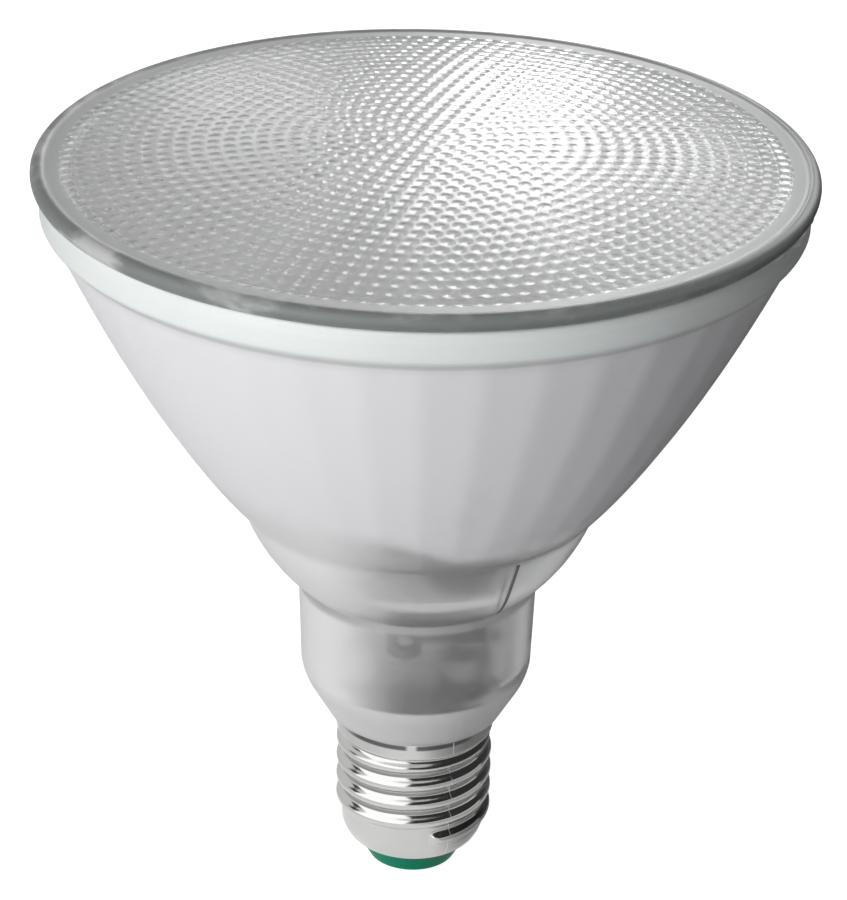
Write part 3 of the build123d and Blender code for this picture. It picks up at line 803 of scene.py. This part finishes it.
def shell_radius(cap, level, azimuth):
    """Outer radius of the screw shell at a level and azimuth.

    The plain shell bulges from its mouth to the thread's root and steps out to the skirt. A right-handed
    ridge lies on it: its crest climbs one pitch each turn from the thread's start, and its height falls
    from crest to root as the hyperbolic tangent of a cosine, which flattens both. It begins as the square
    root of a short turn and fades out below the skirt over a third of the pitch.
    """
    mouth_rises = (0.0, 0.2, 0.9, 1.8)
    mouth_growth = (0.0, 0.45, 1.1, 1.62)
    shoulder_rise, shoulder_short = 3.0, 0.05
    root_rise = 4.4
    skirt_step = 0.9
    fade_out = 0.33
    skirt_low = cap.top - cap.skirt_length
    levels = [cap.bottom + rise for rise in (*mouth_rises, shoulder_rise, root_rise)]
    levels += [skirt_low - skirt_step, skirt_low, cap.top]
    radii = [cap.mouth_radius + growth for growth in mouth_growth]
    radii += [cap.root_radius - shoulder_short, cap.root_radius, cap.root_radius]
    radii += [cap.skirt_radius, cap.skirt_radius]
    plain = np.interp(level, levels, radii)
    turn = (azimuth - cap.start) / FULL_TURN % 1.0
    rise = (level - cap.first_crest) / cap.pitch - (turn + cap.start / FULL_TURN)
    ridge = np.round(rise)
    off = rise - ridge
    height = 0.5 + 0.5 * np.tanh(cap.squareness * np.cos(FULL_TURN * off)) / math.tanh(cap.squareness)
    begun = np.sqrt(np.clip((ridge + turn) * FULL_TURN / cap.fade_in, 0, 1))
    ended = np.clip((cap.run_out - level) / (fade_out * cap.pitch), 0, 1)
    crest = cap.root_radius + (cap.crest_radius - cap.root_radius) * height * begun * ended
    return np.where(begun * ended > 0, np.maximum(plain, crest), plain)


def build_shell(cap):
    """The screw shell: an outer sheet by shell_radius and an inner one, joined at both ends.

    The inner sheet lies one wall inside the outer one, and has its top and bottom and every other level.
    """
    count = 288
    level_step = 0.18
    azimuth = even_turn(count)
    levels = np.arange(cap.bottom, cap.top, level_step)
    levels = np.append(levels, cap.top)
    inner_levels = levels[::-2]
    if inner_levels[-1] != levels[0]:
        inner_levels = np.append(inner_levels, levels[0])
    outer = [ring_of(shell_radius(cap, level, azimuth), level, count) for level in levels]
    inner = [ring_of(shell_radius(cap, level, azimuth) - cap.wall, level, count) for level in inner_levels]
    return sheet_mesh("threaded_shell", outer + inner, closed=True)


def facet_share(body, count):
    """Radius of a soft-cornered polygon against the circle inside it.

    It is 1 / cos(angle from the flat's middle), averaged over its neighbours so that each corner is
    rounded as pressed glass is.
    """
    step = FULL_TURN / body.facets
    off = (even_turn(count) % step) - step / 2
    share = 1 / np.cos(off)
    return (np.roll(share, 1) + 2 * share + np.roll(share, -1)) / 4


def body_profile(body, inset):
    """(radius, level) points up the neck, the lower bowl and the facetted bowl, moved inwards by inset.

    The lower bowl is an arc with a bulge over its chord. The facetted bowl is the parabola
    r squared = base radius squared + 4 f (level - base).
    """
    neck_step = 1.6
    lower_points, bowl_points = 20, 44
    low = np.array([body.neck_top_radius, body.neck_top])
    high = np.array([body.lower_bowl_radius, body.bowl_base])
    across, up = high - low
    span = math.hypot(across, up)
    middle = (low + high) / 2 + body.lower_bowl_bulge * np.array([up, -across]) / span
    lower = arc_through(low, middle, high, lower_points)
    lower_inset = inset * span / up
    lower[:, 0] -= lower_inset
    levels = np.linspace(body.bowl_base, body.bowl_top, bowl_points)
    radii = np.sqrt(body.base_radius ** 2 + 4 * body.focal_length * (levels - body.bowl_base))
    slope = 2 * body.focal_length / radii
    bowl = np.stack([radii - inset * np.hypot(1, slope), levels], axis=1)
    neck_low = (body.neck_low_radius - inset, body.shoulder_level + body.shoulder_round)
    neck = even_profile([neck_low, (body.neck_top_radius - lower_inset, body.neck_top)], neck_step)
    return neck, lower, bowl


def foot_profile(body):
    """(radius, level) points from the tail's bore up to the neck: tail, ledge, cone and round."""
    tail_step, cone_step = 1.2, 1.0
    ledge_bevel = 0.4
    round_reach = 0.8
    round_bulge = (0.12, 0.35)
    round_points = 9
    ledge_top = body.foot_level + ledge_bevel
    lean = (body.shoulder_radius - body.foot_radius) / (body.shoulder_level - body.foot_level)
    tail = even_profile(
        [
            (body.tail_radius - body.wall, body.tail_bottom),
            (body.tail_radius, body.tail_bottom),
            (body.tail_radius, body.foot_level),
            (body.foot_radius - ledge_bevel, body.foot_level),
            (body.foot_radius, ledge_top),
        ],
        tail_step,
    )
    cone_low = (body.foot_radius + ledge_bevel * lean, ledge_top)
    cone_high = (body.shoulder_radius - round_reach * lean, body.shoulder_level - round_reach)
    cone = even_profile([cone_low, cone_high], cone_step)
    bend = (body.shoulder_radius + round_bulge[0], body.shoulder_level + round_bulge[1])
    neck_foot = (body.neck_low_radius, body.shoulder_level + body.shoulder_round)
    turn = arc_through(cone[-1], bend, neck_foot, round_points)[1:-1]
    return np.concatenate([tail[:-1], cone, turn])


def flange_profile(body, inner_radius):
    """(radius, level) points round the flange: its wall between small rounds, its face and its inner edge.

    A fine step runs round the wall near its top. Rounds and step are given in bevels.
    """
    flange_step = 0.9
    step_depth, step_back = 0.12, 0.1
    seat_depth = 1.0
    bevel = body.flange_bevel
    radius, bottom, top = body.flange_radius, body.flange_bottom, body.flange_top
    return even_profile(
        [
            (radius - 1.1 * bevel, bottom - 0.35 * bevel),
            (radius - 0.3 * bevel, bottom + 0.3 * bevel),
            (radius, bottom + bevel),
            (radius, top - 2.2 * bevel),
            (radius - step_depth, top - 2.0 * bevel),
            (radius - step_back, top - bevel),
            (radius - 0.3 * bevel - step_back, top - 0.3 * bevel),
            (radius - bevel, top),
            (inner_radius, top),
            (inner_radius, body.bowl_top + seat_depth),
        ],
        flange_step,
    )


def build_body(body):
    """The glass body as one closed surface: outer wall, flange and inner wall, polygonal in the bowl."""
    points_to_a_facet = 8
    bore_rise = 0.3
    count = body.facets * points_to_a_facet
    share = facet_share(body, count)
    neck, lower, bowl = body_profile(body, 0.0)
    inner_neck, inner_lower, inner_bowl = body_profile(body, body.wall)
    wall = np.concatenate([foot_profile(body), neck[:-1], lower[:-1]])
    flange = flange_profile(body, inner_bowl[-1][0])
    inner_wall = np.concatenate([inner_lower[::-1], inner_neck[::-1][1:]])
    outer = [ring_of(radius, level, count) for radius, level in wall]
    outer += [ring_of(radius * share, level, count) for radius, level in bowl[1:]]
    outer += [ring_of(radius, level, count) for radius, level in flange]
    inner = [ring_of(radius * share, level, count) for radius, level in inner_bowl[::-1]]
    inner += [ring_of(radius, level, count) for radius, level in inner_wall]
    inner.append(ring_of(body.tail_radius - body.wall, body.foot_level + bore_rise, count))
    marks = [0.0] * len(outer) + [1.0] * len(inner)
    return sheet_mesh("glass_body", outer + inner, closed=True, marks=marks)


def seal_reach(azimuth):
    """How far the seal squeezes out past its even line, in millimetres.

    Lumps at chosen azimuths, each a bell curve with its own azimuth, size and width in degrees, on the
    sum of two faint sine waves, each with its own size, waves to the turn and offset.
    """
    lumps = (
        (61.0, 1.2, 4.0),
        (68.0, 1.65, 3.0),
        (76.0, 1.3, 4.0),
        (-66.0, 0.8, 4.0),
        (-58.0, 0.6, 3.0),
        (150.0, 0.8, 6.0),
        (-140.0, 0.7, 5.0),
    )
    waves = ((0.12, 5, 1.0), (0.08, 13, 0.0))
    reach = sum(size * np.sin(count * azimuth + offset) for size, count, offset in waves)
    for place, size, width in lumps:
        off = (np.degrees(azimuth) - place + 180) % 360 - 180
        reach = reach + size * np.exp(-(off / width) ** 2)
    return reach


def build_seal(lens, body):
    """The seal's bead: a flat ring between lens and flange.

    Where seal_reach is large it bulges past the flange's edge, hangs down a little and laps up the lens,
    each by a share of how far it reaches over the edge.
    """
    count = 720
    hair = 0.02
    bead_width = 3.0
    set_back = 0.6
    lens_margin = 0.2
    outside = body.flange_radius - set_back
    edge = np.minimum(outside + seal_reach(even_turn(count)), lens.radius - lens_margin)
    over = np.clip(edge - body.flange_radius, 0, None)
    low, high = body.flange_top + hair, lens.seat - hair
    section = (
        (outside - bead_width, low),
        (np.minimum(edge, body.flange_radius - 0.3), low),
        (np.minimum(edge, body.flange_radius + 0.06), low - 0.6 * over),
        (edge, low + 0.1 - 0.9 * over),
        (edge + 0.1, (low + high) / 2 - 0.2 * over),
        (edge + 0.04, high - 0.05 + 0.7 * over),
        (np.minimum(edge, lens.low_radius - 0.1), high),
        (outside - bead_width, high),
    )
    loops = [ring_of(radius, level, count) for radius, level in section]
    return sheet_mesh("seal_bead", loops, closed=True)


def glass_mark(body, start, end, bow, width):
    """A thin dark line on the lower bowl: a square-cornered band half sunk in the glass.

    Start and end are (azimuth, level), with azimuths and bow in degrees. Both run evenly from start to
    end, the azimuth bowed by a half sine, and the radius is the outer wall's at that level.
    """
    steps = 24
    sunk, proud = 0.3, 0.08
    share = np.linspace(0, 1, steps)
    azimuth = start[0] + (end[0] - start[0]) * share + bow * np.sin(math.pi * share)
    level = start[1] + (end[1] - start[1]) * share
    _, lower, _ = body_profile(body, 0.0)
    radius = np.interp(level, lower[:, 1], lower[:, 0])
    turn = np.radians(azimuth)
    outward = np.stack([np.sin(turn), -np.cos(turn), np.zeros(steps)], axis=1)
    across = np.stack([np.cos(turn), np.sin(turn), np.zeros(steps)], axis=1) * width / 2
    middle = radius[:, None] * outward
    middle[:, 2] = level
    back, front = middle - sunk * outward, middle + proud * outward
    corners = np.stack([back - across, back + across, front + across, front - across], axis=1)
    tips = corners.mean(axis=1, keepdims=True)
    return sheet_mesh("glass_mark", [tips[0], *corners, tips[-1]])


class LAMP_OT_lens(bpy.types.Operator):
    """Presses the dimpled lens in place of the plain solid"""

    bl_idname = "lamp.lens"
    bl_label = "Stippled Lens"

    def execute(self, context):
        scene = context.scene
        lens = build_lens(scene.lamp_lens)
        dress(lens, lens_glass(scene.lamp_finish, scene.lamp_lens))
        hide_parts("front_lens")
        return {"FINISHED"}


class LAMP_OT_body(bpy.types.Operator):
    """Blows the facetted glass body with its silvered inside and frosted neck"""

    bl_idname = "lamp.body"
    bl_label = "Glass Body"

    def execute(self, context):
        scene = context.scene
        glass = build_body(scene.lamp_body)
        dress(glass, body_glass(scene.lamp_finish, scene.lamp_body))
        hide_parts("reflector_body")
        seal = build_seal(scene.lamp_lens, scene.lamp_body)
        dress(seal, plain_finish("clear silicone", (0.82, 0.84, 0.83), 0.3, 260.0, 0.0001))
        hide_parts("lens_seal")
        line = glass_mark(scene.lamp_body, start=(32.8, 69.6), end=(39.0, 56.2), bow=-2.0, width=0.55)
        dress(line, plain_finish("dark line", (0.17, 0.17, 0.175), 0.5, 400.0))
        return {"FINISHED"}


class LAMP_OT_cap(bpy.types.Operator):
    """Rolls the screw shell with its true thread, and finishes the insulator, cement and contact"""

    bl_idname = "lamp.cap"
    bl_label = "Screw Cap"

    def execute(self, context):
        scene = context.scene
        shell = build_shell(scene.lamp_cap)
        dress(shell, nickel(scene.lamp_finish, scene.lamp_cap))
        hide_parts("cap_shell")
        contact = plain_finish("tinned contact", (0.62, 0.61, 0.58), 0.32, 350.0, 0.0001, metallic=1.0)
        dress_node("cap_insulator", insulator_green(scene.lamp_finish))
        dress_node("cap_cement", plain_finish("cap cement", (0.62, 0.58, 0.5), 0.85, 500.0, 0.0002))
        dress_node("centre_contact", contact)
        return {"FINISHED"}


class LAMP_OT_light_source(bpy.types.Operator):
    """Finishes the discharge tube, its collars and its holder"""

    bl_idname = "lamp.light_source"
    bl_label = "Tube and Holder"

    def execute(self, context):
        phosphor = plain_finish("phosphor coated tube", (0.88, 0.88, 0.86), 0.3, 120.0, change=0.04)
        dress_node("fluorescent_tube", phosphor)
        dress_node("tube_collars", collar_cement())
        dress_node("tube_holder", holder_plastic(context.scene.lamp_body))
        return {"FINISHED"}


class LAMP_OT_ballast(bpy.types.Operator):
    """Finishes the ballast in the neck and its wires"""

    bl_idname = "lamp.ballast"
    bl_label = "Ballast and Wires"

    def execute(self, context):
        dark_part = plain_finish("moulded black", (0.03, 0.03, 0.032), 0.4, 500.0)
        ferrite = plain_finish("ferrite", (0.045, 0.045, 0.05), 0.55, 900.0, 0.0001)
        copper = wound_wire("enamelled copper", (0.11, 0.07, 0.05), 3000.0)
        sleeve = plain_finish("white wire sleeve", (0.72, 0.71, 0.68), 0.45, 300.0)
        finishes = {
            "ballast_carrier": plain_finish("dark carrier plastic", (0.085, 0.085, 0.09), 0.5, 400.0),
            "circuit_board": board_laminate(),
            "bulk_capacitor": capacitor_can(),
            "film_capacitor": plain_finish("pale film body", (0.6, 0.59, 0.55), 0.3, 200.0, change=0.06),
            "fuse_resistor": plain_finish("resistor coat", (0.55, 0.56, 0.54), 0.6, 800.0),
            "filament_leads": plain_finish("tinned wire", (0.6, 0.59, 0.56), 0.35, 700.0, metallic=1.0),
            "choke_core": ferrite,
            "toroid_core": ferrite,
            "choke_bobbin": dark_part,
            "transistors": dark_part,
            "rectifier_diodes": dark_part,
            "choke_winding": copper,
            "toroid_windings": copper,
            "live_lead": sleeve,
            "neutral_lead": sleeve,
        }
        for node, material in finishes.items():
            dress_node(node, material)
        return {"FINISHED"}


def soft_box(name, place, target, width, height, power, *unseen):
    """A rectangular area light that faces target, unseen by the camera and by the kinds of ray named."""
    place, target = Vector(place), Vector(target)
    light = bpy.data.lights.new(name, "AREA")
    light.shape = "RECTANGLE"
    light.size = width
    light.size_y = height
    light.energy = power
    lamp = bpy.data.objects.new(name, light)
    turn = (target - place).to_track_quat("-Z", "Y").to_matrix().to_4x4()
    lamp.matrix_world = Matrix.Translation(place) @ turn
    lamp.visible_camera = False
    for kind in unseen:
        setattr(lamp, kind, False)
    bpy.context.scene.collection.objects.link(lamp)


def card(name, azimuths, distance, levels, shade, *unseen):
    """A curved upright card that only reflections and glass see, less the kinds of ray named in unseen.

    Its points are x = d sin a, y = -d cos a, between two levels and two azimuths in degrees. Distance d
    and levels are in metres.
    """
    count = 25
    turn = np.radians(np.linspace(*azimuths, count))
    x, y = distance * np.sin(turn), -distance * np.cos(turn)
    points = np.concatenate([np.stack([x, y, np.full(count, level)], axis=1) for level in levels])
    i = np.arange(count - 1)
    faces = np.stack([i, i + 1, count + i + 1, count + i], axis=1)
    mesh = bpy.data.meshes.new(name)
    mesh.from_pydata(points.tolist(), [], faces.tolist())
    mesh.update()
    piece = bpy.data.objects.new(name, mesh)
    bpy.context.scene.collection.objects.link(piece)
    paint = Paint(name)
    paint.set(
        Base_Color=(0.0, 0.0, 0.0),
        Specular_IOR_Level=0.0,
        Emission_Color=(1.0, 1.0, 1.0),
        Emission_Strength=shade,
    )
    mesh.materials.append(paint.material)
    piece.visible_camera = False
    piece.visible_diffuse = False
    piece.visible_shadow = False
    for kind in unseen:
        setattr(piece, kind, False)


def by_ray(paint, seen, glossy, through):
    """A value by kind of ray: seen for the camera, glossy for reflections, through for glass, or nought."""
    path = paint.node("ShaderNodeLightPath")
    direct = paint.math("MULTIPLY", path.outputs["Is Camera Ray"], seen)
    mirrored = paint.math("MULTIPLY", path.outputs["Is Glossy Ray"], glossy)
    passed = paint.math("MULTIPLY", path.outputs["Is Transmission Ray"], through)
    return paint.math("MAXIMUM", direct, paint.math("MAXIMUM", mirrored, passed))


class Surround(Paint):
    """The same short calls as Paint, for a world with a plain background."""

    def __init__(self, name):
        self.world = bpy.data.worlds.new(name)
        self.world.use_nodes = True
        self.tree = self.world.node_tree
        self.tree.nodes.clear()
        self.shader = self.node("ShaderNodeBackground")
        self.output = self.node("ShaderNodeOutputWorld")
        self.link(self.shader.outputs["Background"], self.output.inputs["Surface"])


def pale_world(diffuse, seen, glossy, through):
    """An even white surround with a strength for each kind of ray, and diffuse as the least."""
    surround = Surround("pale surround")
    surround.shader.inputs["Color"].default_value = (1.0, 1.0, 1.0, 1.0)
    strength = surround.math("MAXIMUM", by_ray(surround, seen, glossy, through), diffuse)
    surround.link(strength, surround.shader.inputs["Strength"])
    bpy.context.scene.world = surround.world


def pale_floor(reach, seen, glossy, through):
    """A round pale floor under the cap, with its radius in metres.

    It keeps the lamp's shadow, and glows a little where the camera, metal and glass look at it, so that
    it runs into the white surround. What metal sees of it is dimmer to the right and a little dimmer to
    the left: painted shade, which on the right stands for the lamp's own shadow.
    """
    count = 96
    level = -0.05
    floor = sheet_mesh("studio_floor", [ring_of(reach / MM, level, count), pole_at(level)])
    paint = Paint("pale floor")
    x, _, _ = paint.axes()
    # What metal sees is darker to the right, a painted shade for the lamp's own shadow, and a little dimmer
    # to the left.
    right = paint.math("MULTIPLY", paint.ramp(x, 0.0, 0.035), 0.9)
    left = paint.math("MULTIPLY", paint.ramp(x, -0.01, -0.06), 0.4)
    lit = paint.math("SUBTRACT", 1.0, paint.math("ADD", right, left))
    glow = paint.math("MULTIPLY", glossy, lit)
    paint.set(
        Base_Color=(0.6, 0.6, 0.6),
        Roughness=0.9,
        Specular_IOR_Level=0.0,
        Emission_Color=(1.0, 1.0, 1.0),
        Emission_Strength=by_ray(paint, seen, glow, through),
    )
    floor.data.materials.append(paint.material)


def studio_camera(studio):
    """The camera of the photograph: place, pitch, yaw and roll about its own line of sight."""
    data = bpy.data.cameras.new("studio camera")
    data.sensor_fit = "HORIZONTAL"
    data.sensor_width = 36.0
    data.lens = studio.camera_lens
    data.clip_start = 0.01
    data.clip_end = 20.0
    pitch, yaw, roll = studio.camera_pitch, studio.camera_yaw, studio.camera_roll
    forward = Vector((math.sin(yaw) * math.cos(pitch), math.cos(yaw) * math.cos(pitch), -math.sin(pitch)))
    right = forward.cross(Vector((0, 0, 1))).normalized()
    up = right.cross(forward)
    leaned_right = math.cos(roll) * right + math.sin(roll) * up
    leaned_up = math.cos(roll) * up - math.sin(roll) * right
    turn = Matrix((leaned_right, leaned_up, -forward)).transposed().to_4x4()
    camera = bpy.data.objects.new("studio camera", data)
    camera.matrix_world = Matrix.Translation(Vector(studio.camera_place)) @ turn
    bpy.context.scene.collection.objects.link(camera)
    bpy.context.scene.camera = camera


class LAMP_OT_studio(bpy.types.Operator):
    """Sets up the camera, the pale floor and surround, the soft boxes and the cards"""

    bl_idname = "lamp.studio"
    bl_label = "Studio"

    def execute(self, context):
        scene = context.scene
        scene.view_settings.view_transform = "Standard"
        studio_camera(scene.lamp_studio)
        pale_world(diffuse=0.112, seen=1.0, glossy=0.6, through=0.8)
        pale_floor(reach=4.0, seen=0.9, glossy=0.43, through=0.9)
        middle = (0.0, 0.0, 0.08)
        lens = (0.02, 0.02, 0.129)
        dull = ("visible_glossy", "visible_transmission")
        shine = "visible_diffuse"
        outside = "visible_transmission"
        # Each box has its place, its target, its width, height and power, and what doesn't see it.
        soft_box("key box", (-0.52, -0.74, 0.36), middle, 0.7, 0.7, 8.5, *dull)
        soft_box("rear fill", (0.1, 0.95, 0.2), middle, 0.7, 0.7, 6.5, *dull)
        soft_box("back box", (0.057, 0.854, 0.407), lens, 0.09, 0.27, 0.46, shine)
        soft_box("back top box", (0.04, 0.77, 0.58), lens, 0.12, 0.14, 0.2, shine)
        soft_box("back right box", (0.155, 0.836, 0.45), lens, 0.06, 0.13, 0.1, shine)
        soft_box("back left box", (-0.11, 0.843, 0.39), lens, 0.1, 0.2, 0.1, shine)
        soft_box("right back box", (0.46, 0.72, 0.55), lens, 0.5, 0.5, 2.4, shine, outside)
        # Each card has its azimuths, distance, levels and shade, and what doesn't see it. The plating and
        # the glass mirror a bright one on the left and dark ones on the right. The grey one shows through
        # the neck.
        card("bright card", (-90.0, -12.0), 0.75, (0.0, 1.2), 1.25)
        card("side card", (-108.0, -91.0), 0.75, (0.2, 0.5), 0.02, outside)
        card("dark card", (-8.0, 195.0), 0.075, (0.033, 0.123), 0.03, outside)
        card("low dark card", (100.0, 195.0), 0.075, (0.003, 0.033), 0.08, outside)
        card("grey card", (138.0, 174.0), 0.09, (0.0, 0.062), 0.3, "visible_glossy")
        return {"FINISHED"}


class LAMP_PT_panel(bpy.types.Panel):
    """Lists the lamp's pieces and settings"""

    bl_idname = "LAMP_PT_panel"
    bl_label = "Reflector Lamp"
    bl_space_type = "VIEW_3D"
    bl_region_type = "UI"
    bl_category = "Lamp"

    def draw(self, context):
        layout = self.layout
        for operator in OPERATORS:
            layout.operator(operator.bl_idname)
        for group in GROUPS:
            settings = getattr(context.scene, group)
            box = layout.box()
            box.label(text=group.replace("_", " ").title())
            for name in settings.__annotations__:
                box.prop(settings, name)


OPERATORS = (LAMP_OT_lens, LAMP_OT_body, LAMP_OT_cap, LAMP_OT_light_source, LAMP_OT_ballast, LAMP_OT_studio)
GROUPS = {
    "lamp_lens": LampLensSettings,
    "lamp_cap": LampCapSettings,
    "lamp_body": LampBodySettings,
    "lamp_finish": LampFinishSettings,
    "lamp_studio": LampStudioSettings,
}


def register():
    """Makes the settings, the operators and the panel known."""
    for group in GROUPS.values():
        bpy.utils.register_class(group)
    for operator in OPERATORS:
        bpy.utils.register_class(operator)
    bpy.utils.register_class(LAMP_PT_panel)
    for name, group in GROUPS.items():
        setattr(bpy.types.Scene, name, bpy.props.PointerProperty(type=group))


def unregister():
    """Takes them away again, in the opposite order."""
    for name in GROUPS:
        delattr(bpy.types.Scene, name)
    bpy.utils.unregister_class(LAMP_PT_panel)
    for operator in reversed(OPERATORS):
        bpy.utils.unregister_class(operator)
    for group in reversed(GROUPS.values()):
        bpy.utils.unregister_class(group)


def main():
    """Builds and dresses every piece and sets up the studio."""
    register()
    bpy.ops.lamp.lens()
    bpy.ops.lamp.body()
    bpy.ops.lamp.cap()
    bpy.ops.lamp.light_source()
    bpy.ops.lamp.ballast()
    bpy.ops.lamp.studio()


if __name__ == "__main__":
    main()
